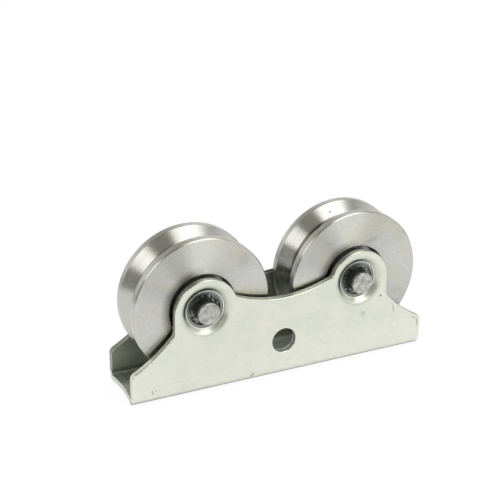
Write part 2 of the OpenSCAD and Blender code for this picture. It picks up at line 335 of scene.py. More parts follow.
def build_mark():
    """One dent, scratch or stain: 1 in its middle, 0 outside its length and width or behind a given Y."""
    n, given, out = new_group(
        "Mark",
        [("Centre mm", (0.0, 0.0, 0.0)), ("Per length", (1.0, 0.0, 1.0)), ("Turn", 0.0), ("Back mm", 0.0)],
        ["Mask"])
    place = scaled_place(n)
    ragged = n.add("ShaderNodeTexNoise", {"Vector": place, "Scale": 1.7, "Detail": 2.0}).outputs["Color"]
    shaken = n.vector("MULTIPLY_ADD", {0: ragged, 1: (RAGGED, RAGGED, RAGGED), 2: place})
    off = n.vector("SUBTRACT", {0: shaken, 1: given["Centre mm"]})
    turned = n.add("ShaderNodeVectorRotate", {"Vector": off, "Angle": given["Turn"]}, rotation_type="Y_AXIS")
    sized = n.vector("MULTIPLY", {0: turned.outputs[0], 1: given["Per length"]})
    reach = n.vector("LENGTH", {0: sized}, "Value")
    in_front = n.math("LESS_THAN", coordinates(n)[1], given["Back mm"])
    n.put(out["Mask"], n.times(n.remap(reach, 1.0, 0.4), in_front))
    return n.tree


AXLE_DISTANCE = build_axle_distance()
TURNING = build_turning_marks(AXLE_DISTANCE)
CLOUDS = build_clouds()
SPECKS = build_specks()
SCRATCHES = build_scratches()
MARK = build_mark()


# ---- Surface marks --------------------------------------------------------------------------------

# Each row: x, z, half length and half width in mm, turn in degrees, darkness.
FACE_MARKS = (
    (-AXLE_X + 12.35, AXLE_H + 11.8, 3.4, 2.6, 60, 0.22),   # stain on the left wheel
    (AXLE_X + 5.25, AXLE_H + 11.0, 3.0, 0.8, 10, 0.30),     # stain on the right wheel
    (AXLE_X - 9.05, AXLE_H + 12.1, 0.55, 0.45, 0, 0.5),     # two smudges beside each other
    (AXLE_X - 7.85, AXLE_H + 12.3, 0.45, 0.35, 0, 0.35),
)
GROOVE_MARKS = (
    (AXLE_X - 3.99, AXLE_H + 17.68, 0.42, 0.36, 0, 0.9),    # pit in the far flank
)
WALL_MARKS = (
    (AXLE_X + 7.35, AXLE_H - 5.95, 0.45, 0.38, 0, 1.0),     # pit below the right ear
    (AXLE_X + 1.75, AXLE_H - 10.6, 1.1, 0.9, 10, 0.22),     # stain below the right dish
    (-AXLE_X + 9.35, AXLE_H - 2.55, 0.5, 0.16, 0, 0.5),     # nick beside the left ear
    (HALF_L - 9.7, 13.5, 2.0, 0.18, 104, 0.6),              # upright scratch under the right slope
    (HALF_L - 1.1, 7.5, 1.9, 0.22, 100, 0.6),               # rub marks along the right end
    (HALF_L - 2.5, 9.3, 1.3, 0.25, -33, 0.4),
    (-9.8, 2.1, 1.0, 0.22, 40, 0.85),                       # gouge at the lower fold
    (-HALF_L + 5.7, 3.5, 0.9, 0.24, 95, 0.6),               # two dents in the lower left corner
    (-HALF_L + 6.7, 3.7, 0.5, 0.2, 75, 0.55),
)


def all_marks(n, marks, back):
    """The strongest of a table's marks at each place in front of a given Y."""
    shift = RAGGED / 2
    strongest = 0.0
    for x, z, half_length, half_width, turn, darkness in marks:
        mark = group(n, MARK, Centre_mm=(x + shift, 0.0, z + shift),
                     Per_length=(1 / half_length, 0.0, 1 / half_width), Turn=math.radians(turn), Back_mm=back)
        strongest = n.most(strongest, n.times(mark.outputs["Mask"], darkness))
    return strongest


# ---- Materials ------------------------------------------------------------------------------------

def start_material(name, **sockets):
    """A material with one Principled shader whose plain sockets are set."""
    material = bpy.data.materials.new(name)
    material.use_nodes = True
    shader = material.node_tree.nodes["Principled BSDF"]
    for label, value in sockets.items():
        shader.inputs[label.replace("_", " ")].default_value = value
    return material, Nodes(material.node_tree), shader


def group(n, tree, **inputs):
    """A shader group placed in a material with its own values."""
    return n.add("ShaderNodeGroup", {k.replace("_", " "): v for k, v in inputs.items()}, node_tree=tree)


def mask(n, tree, **inputs):
    """The mask of a shader group placed in a material with its own values."""
    return group(n, tree, **inputs).outputs["Mask"]


def towards_angle(n, angle, degrees):
    """1 in a direction round an axle, 0 a quarter turn from it and -1 opposite."""
    return n.math("COSINE", n.math("SUBTRACT", angle, math.radians(degrees)))


def bump(n, shader, height, distance_mm, strength):
    """Feeds a height into the shader's normal."""
    node = n.add("ShaderNodeBump", {"Height": height, "Distance": distance_mm * MM, "Strength": strength})
    n.put(shader.inputs["Normal"], node.outputs[0])


def lathe_tangent(n, shader):
    """Turns the stretched highlights along the tool marks."""
    n.put(shader.inputs["Tangent"], n.add("ShaderNodeTangent", direction_type="RADIAL", axis="Y").outputs[0])


class Sheet:
    """Places on the bracket that its finish depends on, in millimetres, and two kinds of clouds."""

    def __init__(self, n):
        self.x, self.y, self.z = coordinates(n)
        self.off_middle = n.math("ABSOLUTE", self.x)
        self.depth = n.math("SUBTRACT", WALL_Y, n.math("ABSOLUTE", self.y))
        self.radius, self.angle = group(n, AXLE_DISTANCE).outputs
        self.bloom = mask(n, CLOUDS, Size_mm=9.0, Low=0.35, High=0.65)
        self.mottle = mask(n, CLOUDS, Size_mm=1.6, Low=0.3, High=0.7, Shift=(7.0, 3.0, 1.0))


GREEN_ZINC, CREAM_ZINC = (0.70, 0.74, 0.635), (0.785, 0.785, 0.69)
PAINTED_LIGHT_ZINC, DULL_ZINC, HIGHLIGHT_ZINC = (0.87, 0.885, 0.785), (0.67, 0.70, 0.62), (0.93, 0.94, 0.90)
SCRATCHED_ZINC, PITTED_ZINC, MARKED_ZINC = (0.50, 0.51, 0.47), (0.42, 0.43, 0.38), (0.10, 0.10, 0.08)
SHEAR_LINE, CUT_EDGE, SHADED_RIGHT_EDGE = (0.22, 0.23, 0.20), (0.62, 0.62, 0.55), (0.20, 0.21, 0.19)
SHADED_BACK_EDGE, SHADOWED_BACK_EDGE_MIDDLE, SHADE_UNDER_FOLD = (0.14, 0.15, 0.12), (0.015, 0.016, 0.013), (0.09, 0.09, 0.09)
DARK_SHADED_INSIDE, PALE_SHADED_INSIDE, PAINTED_LIGHT_WEB = (0.42, 0.485, 0.40), (0.60, 0.635, 0.545), (0.88, 0.89, 0.85)
SHADED_LEFT_WEB = (0.145, 0.165, 0.125)
SHADED_HOLE_WALL, HIGHLIGHT_HOLE_EDGE = (0.25, 0.26, 0.235), (0.85, 0.86, 0.82)
DISH_SHADE, GRIT, SEAM, SHADED_LEDGE = (0.27, 0.34, 0.29), (0.22, 0.23, 0.19), (0.16, 0.18, 0.15), (0.205, 0.21, 0.19)
POCKET_SHADE, PALE_POCKET_SHADE = (0.025, 0.03, 0.025), (0.30, 0.32, 0.29)


def plated_face(n, at, scratch, marked):
    """Colour of the outer faces: a cloudy bloom, painted light that makes them lighter low down and at the
    left, with specks and marks.
    """
    handled = n.remap(at.z, 9.0, 2.0, 0.05, 0.35)
    speck = mask(n, SPECKS, Spacing_mm=1.2, Size=0.16, Share=handled)
    # Painted light: the outer faces are lighter low down and towards the left end.
    painted_light_low_left = n.most(n.remap(at.z, 16.0, 4.0, 0.0, 0.5), n.remap(at.x, -20.0, -40.0, 0.0, 0.5))
    tint = n.mix(at.bloom, GREEN_ZINC, CREAM_ZINC)
    tint = n.mix(painted_light_low_left, tint, PAINTED_LIGHT_ZINC)
    tint = n.mix(n.times(at.mottle, 0.35), tint, DULL_ZINC)
    tint = n.mix(n.times(scratch, 0.6), tint, SCRATCHED_ZINC)
    tint = n.mix(n.times(speck, 0.45), tint, PITTED_ZINC)
    return n.mix(marked, tint, MARKED_ZINC)


def cut_edges(n, at, tint):
    """Colour of the sheared edges with painted shade in places, and where their outer part is burnished."""
    above_fold = n.remap(at.z, SHEET_T + FOLD_R, SHEET_T + FOLD_R + 0.3)
    outside_dish = n.remap(at.radius, DISH_R + 0.1, DISH_R + 0.3)
    cut = n.times(n.remap(at.depth, 0.03, 0.1), above_fold, outside_dish)
    line = n.times(n.band(at.depth, 0.42, 0.16, 0.06, 0.6), n.remap(at.mottle, 0.0, 0.5, 0.4, 1.0))
    # Painted shade on the back wall's cut edge, near black in its middle between the wheels.
    back = n.times(cut, n.remap(at.y, WALL_Y - SHEET_T, WALL_Y - SHEET_T + 0.1))
    shadowed_back_middle = n.times(back, n.remap(at.off_middle, 17.0, 13.0))
    # Painted shade on the front wall's cut edge at the top of its right end.
    front_right = n.times(cut, n.remap(at.x, 35.0, 37.0), n.remap(at.z, 8.0, 9.0),
                          n.math("LESS_THAN", at.y, 0.0))
    # Painted shade along the underside of the lower folds.
    shade_under_fold = n.times(n.remap(at.z, 1.1, 0.6), n.remap(at.depth, 2.0, 1.6))
    tint = n.mix(n.times(cut, line), tint, SHEAR_LINE)
    tint = n.mix(n.times(cut, n.remap(at.depth, 0.5, 0.65, 0.0, 0.35)), tint, CUT_EDGE)
    tint = n.mix(n.times(back, 0.8), tint, SHADED_BACK_EDGE)
    tint = n.mix(shadowed_back_middle, tint, SHADOWED_BACK_EDGE_MIDDLE)
    tint = n.mix(n.times(front_right, 0.7), tint, SHADED_RIGHT_EDGE)
    tint = n.mix(n.times(shade_under_fold, 0.85), tint, SHADE_UNDER_FOLD)
    return tint, n.times(cut, n.remap(at.depth, 0.55, 0.45))


def channel_inside(n, at, tint):
    """Colour inside the channel and the fixing holes with painted light and shade, how matt it is there, and
    the painted highlight on the inner fold.
    """
    inside = n.times(n.remap(at.depth, SHEET_T - 0.25, SHEET_T),
                     n.remap(at.z, SHEET_T - 0.25, SHEET_T - 0.05))
    in_middle = n.remap(at.off_middle, 18.0, 12.0)
    # Painted shade: the inside of the channel is darker and greener than the outer faces.
    tint = n.mix(n.times(inside, 0.85), tint, n.mix(at.bloom, DARK_SHADED_INSIDE, PALE_SHADED_INSIDE))

    # Painted shade on the web at the left end of the channel.
    shaded_left_web = n.times(n.remap(at.x, -20.0, -26.0), n.remap(at.z, SHEET_T + 2.0, SHEET_T + 0.8), inside,
                    n.remap(at.y, -0.5, 3.0, 0.1, 0.85), n.remap(at.mottle, 0.0, 0.6, 0.75, 1.0))
    tint = n.mix(shaded_left_web, tint, SHADED_LEFT_WEB)
    matt = n.times(inside, n.remap(at.z, SHEET_T + 1.2, SHEET_T + 0.2, 0.15, 0.45))

    # Painted light: a pale pool on the middle of the web, also made less metallic.
    lit_web_patch = n.times(in_middle, n.remap(at.z, SHEET_T + 0.8, SHEET_T + 0.5), inside)
    tint = n.mix(n.times(lit_web_patch, 0.85), tint, PAINTED_LIGHT_WEB)
    matt = n.most(matt, n.times(lit_web_patch, 0.9))

    flat_place = n.vector("MULTIPLY_ADD", {0: scaled_place(n), 1: (1.0, 0.0, 1.0), 2: (0.0, 0.0, -FIXING_H)})
    from_hole = n.vector("LENGTH", {0: flat_place}, "Value")
    # Painted shade on the walls of the fixing holes, with a painted highlight along their inner edge.
    shaded_hole_wall = n.times(n.remap(from_hole, FIXING_R + 0.3, FIXING_R + 0.1), n.remap(at.depth, 0.1, 0.3))
    inner_edge = n.remap(at.depth, SHEET_T - 0.5, SHEET_T - 0.4)
    tint = n.mix(shaded_hole_wall, tint, n.mix(inner_edge, SHADED_HOLE_WALL, HIGHLIGHT_HOLE_EDGE))
    matt = n.most(matt, n.times(shaded_hole_wall, 0.7))

    fold = SHEET_T + FOLD_R
    # Painted highlight along the inner folds, strongest in the middle.
    crease_highlight = n.times(n.remap(at.depth, fold + 0.15, fold), n.remap(at.z, fold + 0.1, fold), inside,
                     n.remap(at.off_middle, 18.0, 12.0, 0.1))
    tint = n.mix(n.times(crease_highlight, 0.9), tint, HIGHLIGHT_ZINC)
    return tint, n.most(matt, n.times(crease_highlight, 0.4)), crease_highlight


def dish_finish(n, at, tint):
    """Colour of the dishes: painted greenish shade and grit on the lip, a painted highlight on the ring, and
    painted shade on the ledge and round the pin.
    """
    top = n.remap(n.math("SINE", at.angle), -0.9, -0.5)
    upper_left = n.remap(towards_angle(n, at.angle, 125), -0.2, 0.7, 0.35, 1.0)
    lower_right = n.remap(towards_angle(n, at.angle, -32), 0.75, 0.95)
    # Painted shade on each dish's lip, greenish, darkest near the ring and at the upper left.
    painted_dish_shade = n.times(n.remap(at.radius, RING_R + 2.5, RING_R + 0.2, 0.0, 0.7), top, upper_left)
    grit = n.times(mask(n, SPECKS, Spacing_mm=0.55, Size=0.4, Share=0.6), lower_right,
                   n.remap(at.radius, RING_R + 1.5, RING_R + 0.9))
    seam = n.times(n.band(at.radius, RING_R + 0.16, 0.14, 0.04, 0.5), top)
    # Painted highlight round the ring.
    ring_highlight = n.band(at.radius, RING_R - 0.06, 0.12, 0.06)
    # Painted shade on the ledge inside the ring.
    shaded_ledge = n.remap(at.radius, RING_R - 0.16, RING_R - 0.22, 0.0, 0.85)
    # Painted shade in the pocket round the pin, mottled.
    pocket = n.remap(at.radius, POCKET_R + 0.1, POCKET_R - 0.1)
    spots = mask(n, CLOUDS, Size_mm=0.9, Low=0.42, High=0.6, Shift=(5.0, 2.0, 4.0))
    tint = n.mix(painted_dish_shade, tint, DISH_SHADE)
    tint = n.mix(n.times(grit, 0.6), tint, GRIT)
    tint = n.mix(seam, tint, SEAM)
    tint = n.mix(ring_highlight, tint, HIGHLIGHT_ZINC)
    tint = n.mix(shaded_ledge, tint, SHADED_LEDGE)
    return n.mix(pocket, tint, n.mix(spots, POCKET_SHADE, PALE_POCKET_SHADE))


def zinc_plate():
    """Satin zinc plating with a faint yellow-green bloom, specks, dents and handling scratches, and painted
    light and shade in places.
    """
    material, n, shader = start_material("zinc_plate")
    at = Sheet(n)
    scratch = mask(n, SCRATCHES, Share=0.4)
    marked = all_marks(n, WALL_MARKS, 0.5 - WALL_Y)
    tint = plated_face(n, at, scratch, marked)
    tint, burnished = cut_edges(n, at, tint)
    tint, matt, crease_highlight = channel_inside(n, at, tint)
    n.put(shader.inputs["Base Color"], dish_finish(n, at, tint))
    n.put(shader.inputs["Metallic"], n.math("SUBTRACT", 1.0, matt))

    pressed = n.remap(at.radius, DISH_R, RING_R + 0.6, 0.0, 0.1)
    smooth = n.most(burnished, pressed, crease_highlight)
    rough = n.remap(at.mottle, 0.0, 1.0, 0.30, 0.40)
    n.put(shader.inputs["Roughness"], n.times(rough, n.remap(smooth, 0.0, 1.0, 1.0, 0.5)))
    height = n.math("ADD", n.times(at.mottle, 0.5), n.times(scratch, -0.6))
    bump(n, shader, n.math("ADD", height, n.times(marked, -4.0)), 0.012, 0.6)
    return material


DARK_FACE, PALE_FACE, GREY_GRAIN = (0.65, 0.655, 0.62), (0.80, 0.805, 0.78), (0.48, 0.485, 0.46)
STAINED_FACE, FACE_SPECK, FACE_MARK = (0.66, 0.62, 0.47), (0.28, 0.27, 0.24), (0.34, 0.31, 0.24)
PAINTED_FACE_SHADE = (0.12, 0.12, 0.105)
DARK_GROOVE, PALE_GROOVE, DULL_GROOVE = (0.56, 0.56, 0.53), (0.62, 0.62, 0.595), (0.50, 0.49, 0.42)
GROOVE_SPECK, GROOVE_MARK, GROOVE_ROOT = (0.22, 0.21, 0.18), (0.12, 0.11, 0.10), (0.08, 0.08, 0.065)


def turned_face():
    """Flat face of a turned wheel: fine rings, faint stains and specks, and painted shade beside the ear and
    round the bore mouth.
    """
    material, n, shader = start_material(
        "turned_face", Metallic=1.0, Anisotropic=1.0, Anisotropic_Rotation=0.25)
    rings = group(n, TURNING, Rings_per_mm=7.0, Uneven=0.3).outputs["Fine"]
    stain = mask(n, CLOUDS, Size_mm=7.0, Low=0.47, High=0.68)
    mottle = mask(n, CLOUDS, Size_mm=0.9, Low=0.25, High=0.75, Shift=(2.0, 5.0, 8.0))
    grain = mask(n, CLOUDS, Size_mm=0.4, Low=0.3, High=0.7, Shift=(1.0, 9.0, 4.0))
    speck = mask(n, SPECKS, Spacing_mm=1.7, Size=0.15, Share=0.3)
    radius, angle = group(n, AXLE_DISTANCE).outputs
    # Painted shade on the face left of the ear and round the mouth of the bore; it turns with the wheel.
    painted_ear_shade = n.times(n.remap(radius, 12.4, 9.6, 0.0, 0.85), n.remap(towards_angle(n, angle, 155), 0.3, 0.7),
                    n.math("LESS_THAN", coordinates(n)[1], 0.0))
    shaded_mouth = n.remap(radius, BORE_R + 0.4, BORE_R + 0.25, 0.0, 0.85)
    tint = n.mix(mottle, DARK_FACE, PALE_FACE)
    tint = n.mix(n.times(grain, 0.55), tint, GREY_GRAIN)
    tint = n.mix(n.times(stain, 0.55), tint, STAINED_FACE)
    tint = n.mix(n.times(speck, 0.8), tint, FACE_SPECK)
    tint = n.mix(all_marks(n, FACE_MARKS, 0.1 - WHEEL_W / 2), tint, FACE_MARK)
    n.put(shader.inputs["Base Color"], n.mix(n.most(painted_ear_shade, shaded_mouth), tint, PAINTED_FACE_SHADE))
    n.put(shader.inputs["Roughness"], n.remap(mottle, 0.0, 1.0, 0.33, 0.41))
    lathe_tangent(n, shader)
    bump(n, shader, n.math("ADD", rings, n.times(speck, -1.5)), 0.004, 0.5)
    return material


def turned_groove():
    """Flanks of the groove and chamfers of the rim, turned to a near mirror, dark at the root."""
    material, n, shader = start_material(
        "turned_groove", Metallic=1.0, Anisotropic=0.8, Anisotropic_Rotation=0.25)
    rings = group(n, TURNING, Rings_per_mm=3.2, Uneven=0.1).outputs
    dull = mask(n, CLOUDS, Size_mm=2.5, Low=0.35, High=0.75, Shift=(4.0, 1.0, 6.0))
    speck = mask(n, SPECKS, Spacing_mm=1.9, Size=0.13, Share=0.25)
    root = n.remap(n.math("ABSOLUTE", coordinates(n)[1]), 1.4, 1.0, 0.0, 0.88)
    tint = n.mix(n.remap(rings["Fine"], 0.3, 0.7), DARK_GROOVE, PALE_GROOVE)
    tint = n.mix(n.times(dull, 0.3), tint, DULL_GROOVE)
    tint = n.mix(all_marks(n, GROOVE_MARKS, WHEEL_W), tint, GROOVE_MARK)
    tint = n.mix(root, tint, GROOVE_ROOT)
    n.put(shader.inputs["Base Color"], n.mix(n.times(speck, 0.7), tint, GROOVE_SPECK))
    n.put(shader.inputs["Roughness"], n.remap(rings["Broad"], 0.3, 0.7, 0.25, 0.295))
    lathe_tangent(n, shader)
    return material


DARK_BAR, PALE_BAR = (0.33, 0.335, 0.305), (0.60, 0.60, 0.56)
BAR_SPECK, SHADED_BAR_ROOT = (0.10, 0.10, 0.09), (0.10, 0.10, 0.10)


def axle_steel():
    """Cropped and upset bar end, slightly rough, with painted shade where it goes into the dish."""
    material, n, shader = start_material("axle_steel", Metallic=1.0)
    dull = mask(n, CLOUDS, Size_mm=1.2, Low=0.3, High=0.7)
    speck = mask(n, SPECKS, Spacing_mm=0.7, Size=0.28, Share=0.45)
    # Painted shade on the pin where it sits in the dish's pocket.
    root = n.remap(n.math("ABSOLUTE", coordinates(n)[1]), AXLE_END - 0.3, AXLE_END - 1.4, 0.0, 0.8)
    tint = n.mix(n.times(speck, 0.8), n.mix(dull, DARK_BAR, PALE_BAR), BAR_SPECK)
    n.put(shader.inputs["Base Color"], n.mix(root, tint, SHADED_BAR_ROOT))
    n.put(shader.inputs["Roughness"], n.remap(dull, 0.0, 1.0, 0.42, 0.3))
    bump(n, shader, dull, 0.05, 0.6)
    return material


def plain_steel(name, colour, roughness):
    """Ground, polished or pressed steel of the pieces inside a wheel."""
    material, n, shader = start_material(name, Metallic=1.0)
    dull = mask(n, CLOUDS, Size_mm=0.8)
    darker = tuple(0.85 * c for c in colour)
    n.put(shader.inputs["Base Color"], n.mix(dull, darker, colour))
    n.put(shader.inputs["Roughness"], n.remap(dull, 0.0, 1.0, roughness, roughness + 0.1))
    return material


ZINC = zinc_plate()
FACE = turned_face()
GROOVE = turned_groove()
AXLE_STEEL = axle_steel()
INNER_STEELS = {
    "bearing_steel": plain_steel("bearing_steel", (0.60, 0.60, 0.57), 0.25),
    "ball_steel": plain_steel("ball_steel", (0.80, 0.81, 0.83), 0.08),
    "cage_steel": plain_steel("cage_steel", (0.58, 0.56, 0.52), 0.35),
    "shield_steel": plain_steel("shield_steel", (0.60, 0.61, 0.63), 0.3),
    "axle_steel": AXLE_STEEL,
}


# ---- Wheels ---------------------------------------------------------------------------------------

NICK_AT = math.radians(124)
NICK_R = 0.9
NICK_PUSH = 0.7
WHEEL_SEGMENTS = 256
FINISH_MARGIN = 0.12


def flange_corners(bore_r, side):
    """Corners (radius, y, rounding) of one half of a wheel's section, from its bore to the groove."""
    w, c, m = WHEEL_W / 2, RIM_CHAMFER, MOUTH_CHAMFER
    corners = [
        (bore_r, w - m, 0.05), (bore_r + m, w, 0.08), (WHEEL_R - c, w, 0.2), (WHEEL_R, w - c, 0.2),
        (WHEEL_R, GROOVE_HALF_W, 0.2), (GROOVE_ROOT_R, GROOVE_ROOT_W / 2, 0.2),
    ]
    return [(r, side * y, rounding) for r, y, rounding in corners]


def wheel(side_name, centre_x):
    """A turned wheel with a V groove, bored from the front (-Y) up to a shoulder at the back."""
    shoulder_r = BORE_R - SHOULDER_H
    front = flange_corners(BORE_R, -1)
    back = flange_corners(shoulder_r, 1)
    seat = [(shoulder_r, BEARING_W / 2, 0), (BORE_R, BEARING_W / 2, 0)]
    section = rounded(front + back[::-1] + seat)
    points, faces = lathe(section, centre_x, WHEEL_SEGMENTS)
    if side_name == "right":
        points = [nicked(p, centre_x) for p in points]
    faces = [face[::-1] for face in faces]

    def finish_at(place):
        """0 on the flat faces and the rim, 1 in the groove and on the chamfers."""
        radius = math.hypot(place.x - centre_x, place.z - AXLE_H)
        in_groove = abs(place.y) < GROOVE_HALF_W + FINISH_MARGIN and radius > GROOVE_ROOT_R - 0.2
        on_chamfer = abs(place.y) + radius > WHEEL_W / 2 + WHEEL_R - RIM_CHAMFER - FINISH_MARGIN
        return 1 if in_groove or on_chamfer else 0

    add_piece(f"{side_name}_turned_wheel", points, faces, f"{side_name}_wheel_set",
              f"{side_name}_wheel", [FACE, GROOVE], finish_at)


def nicked(point, centre_x):
    """Pushes a point of the rim out of the dent in the edge of the groove."""
    reach = WHEEL_R + NICK_R / 2
    nick = Vector((centre_x + reach * math.cos(NICK_AT), -GROOVE_HALF_W, AXLE_H + reach * math.sin(NICK_AT)))
    off = Vector(point) - nick
    if off.length >= NICK_R:
        return point
    inward = Vector((centre_x, point[1], AXLE_H)) - Vector(point)
    return Vector(point) + inward.normalized() * (NICK_R - off.length) * NICK_PUSH


# ---- Bracket: a flat blank, folded and dished ------------------------------------------------------

NEUTRAL_R = FOLD_R + SHEET_T / 2
WEB_FLAT = WALL_Y - SHEET_T - FOLD_R
FOLD_L = NEUTRAL_R * math.pi / 2
WALL_START_Z = FOLD_R + SHEET_T
EDGE_ROUND = 0.3
BURR_ROUND = 0.15
DISH_SEGMENTS = 144
HOLE_SEGMENTS = 64
BOTH = (-1, 1)


def developed(z):
    """Distance from the middle of the web, along the sheet, of a place at height z on a wall."""
    return WEB_FLAT + FOLD_L + z - WALL_START_Z


def circles_meet(a, ra, b, rb):
    """The meeting point of two circles that lies on the left of the way from a to b."""
    way = b - a
    along = (ra * ra - rb * rb + way.length_squared) / (2 * way.length)
    u = way.normalized()
    return a + u * along + Vector((-u.y, u.x)) * math.sqrt(ra * ra - along * along)


def low_point(centre, radius, x):
    """Lower point of a circle at the abscissa x."""
    return Vector((x, centre.y - math.sqrt(radius ** 2 - (x - centre.x) ** 2)))


def towards(centre, point, radius):
    """The point at a distance from a centre, in the direction of another point."""
    return centre + (point - centre).normalized() * radius


def half_wall_outline():
    """Upper edge of a wall, from the middle of the saddle to the lower end of the end edge."""
    ear = Vector((AXLE_X, AXLE_H))
    flank_x = AXLE_X + EAR_R
    end_top = Vector((HALF_L, END_H))
    slope_top = Vector((flank_x, AXLE_H - SLOPE_DROP))
    chord = end_top - slope_top
    offset = math.sqrt(SLOPE_R ** 2 - chord.length_squared / 4)
    slope = (slope_top + end_top) / 2 + Vector((-chord.y, chord.x)).normalized() * offset
    saddle = Vector((0, AXLE_H - SADDLE_DROP + SADDLE_R))
    in_saddle = circles_meet(ear, EAR_R + SADDLE_FILLET, saddle, SADDLE_R - SADDLE_FILLET)
    on_flank = low_point(slope, SLOPE_R - SLOPE_FILLET, flank_x + SLOPE_FILLET)
    at_end = low_point(slope, SLOPE_R + END_ROUND, HALF_L - END_ROUND)

    path = arc(saddle, Vector((0, AXLE_H - SADDLE_DROP)), towards(saddle, in_saddle, SADDLE_R), 12)
    path += arc(in_saddle, path[-1], towards(ear, in_saddle, EAR_R), 8)[1:]
    path += arc(ear, path[-1], ear + Vector((0, EAR_R)), 16)[1:]
    path += arc(ear, path[-1], ear + Vector((EAR_R, 0)), 24)[1:]
    path += arc(on_flank, Vector((flank_x, on_flank.y)), towards(slope, on_flank, SLOPE_R), 8)
    path += arc(slope, path[-1], towards(slope, at_end, SLOPE_R), 10)[1:]
    path += arc(at_end, path[-1], Vector((HALF_L, at_end.y)), 8)[1:]
    return path


def end_edge(v):
    """How far the blank reaches along X at a distance v from the middle of the web."""
    radius = (WEB_FLAT ** 2 + WEB_NOTCH ** 2) / (2 * WEB_NOTCH)
    if abs(v) >= WEB_FLAT:
        return HALF_L
    return HALF_L + radius - WEB_NOTCH - math.sqrt(radius ** 2 - v ** 2)


def fold_rows():
    """Distances from the middle of the web at which the blank has a row of points."""
    fold = [WEB_FLAT + FOLD_L * k / 8 for k in range(9)]
    web = [WEB_FLAT * k / 4 for k in range(4)]
    positive = web + fold
    return [-v for v in positive[:0:-1]] + positive


def ring_points(cx, cy, radius, count):
    """Evenly spaced points on a circle."""
    angles = [2 * math.pi * k / count for k in range(count)]
    return [Vector((cx + radius * math.cos(a), cy + radius * math.sin(a))) for a in angles]


def inset(loop, distance):
    """A closed loop moved to its left by a distance."""
    moved = []
    for i, p in enumerate(loop):
        way = loop[(i + 1) % len(loop)] - loop[i - 1]
        moved.append(p + Vector((-way.y, way.x)).normalized() * distance)
    return moved


def touch_point(point, centre, radius):
    """Where the line from a point touches a circle, clockwise of the point as seen from the centre."""
    off = point - centre
    angle = math.atan2(off.y, off.x) - math.acos(radius / off.length)
    return centre + radius * Vector((math.cos(angle), math.sin(angle)))


def dish_section():
    """Section (radius, depth) of a dished wall, from its outer face over the pin hole to its inner face."""
    lip = Vector((DISH_R, -LIP_R))
    lip_end = touch_point(Vector((RING_R, -RING_DEPTH)), lip, LIP_R)
    rolled = arc(lip, Vector((DISH_R, 0)), lip_end, 10)
    corners = [(p.x, p.y, 0) for p in rolled]
    corners += [
        (RING_R, -RING_DEPTH, 0.06), (RING_R - RING_W, -RING_DEPTH, 0.05),
        (RING_R - RING_W, -LEDGE_DEPTH, 0.04), (POCKET_R, -LEDGE_DEPTH, 0.1), (POCKET_R, -POCKET_DEPTH, 0.15),
        (PIN_HOLE_R, -POCKET_DEPTH, 0), (PIN_HOLE_R, -DISH_BACK, 0), (DISH_BACK_R - 0.8, -DISH_BACK, 0.5),
        (DISH_BACK_R, 0.4 - DISH_BACK, 0.5), (DISH_R, -SHEET_T, 0),
    ]
    return [Vector((p.x, -p.y)) for p in rounded(corners)]


def folded(u, v, depth):
    """Place on the bracket of a point of the blank: along X, across the sheet, and below its outer face."""
    side = 1 if v > 0 else -1
    beyond = abs(v) - WEB_FLAT
    if beyond <= 0:
        return Vector((u, v, depth))
    if beyond < FOLD_L:
        angle, radius = beyond / NEUTRAL_R, WALL_START_Z - depth
        across, height = WEB_FLAT + radius * math.sin(angle), WALL_START_Z - radius * math.cos(angle)
        return Vector((u, side * across, height))
    return Vector((u, side * (WALL_Y - depth), WALL_START_Z + beyond - FOLD_L))


def blank_outline(rows):
    """The outline of the flat blank, counterclockwise."""
    upper = [Vector((p.x, developed(p.y))) for p in half_wall_outline()]
    end = [Vector((end_edge(v), v)) for v in rows[::-1] if abs(v) < developed(END_H - END_ROUND) - 0.5]
    lower = [Vector((p.x, -p.y)) for p in upper[::-1]]
    right = upper + end + lower
    left = [Vector((-p.x, p.y)) for p in right[-2:0:-1]]
    return (right + left)[::-1]


def edge_profile():
    """Inset and depth of the rounded cut edge of the sheet, from its outer to its inner face."""
    near = [(EDGE_ROUND * (1 - math.sin(a)), EDGE_ROUND * (1 - math.cos(a)))
            for a in (math.radians(22.5 * k) for k in range(5))]
    far = [(BURR_ROUND * (1 - math.cos(a)), SHEET_T - BURR_ROUND * (1 - math.sin(a)))
           for a in (math.radians(30 * k) for k in range(4))]
    return near + far


def nearest(loop, side, v):
    """Which point on one end edge of the blank's loop is nearest to a row of points."""
    on_end = (i for i, p in enumerate(loop) if side * p.x > HALF_L - END_ROUND)
    return min(on_end, key=lambda i: abs(loop[i].y - v))


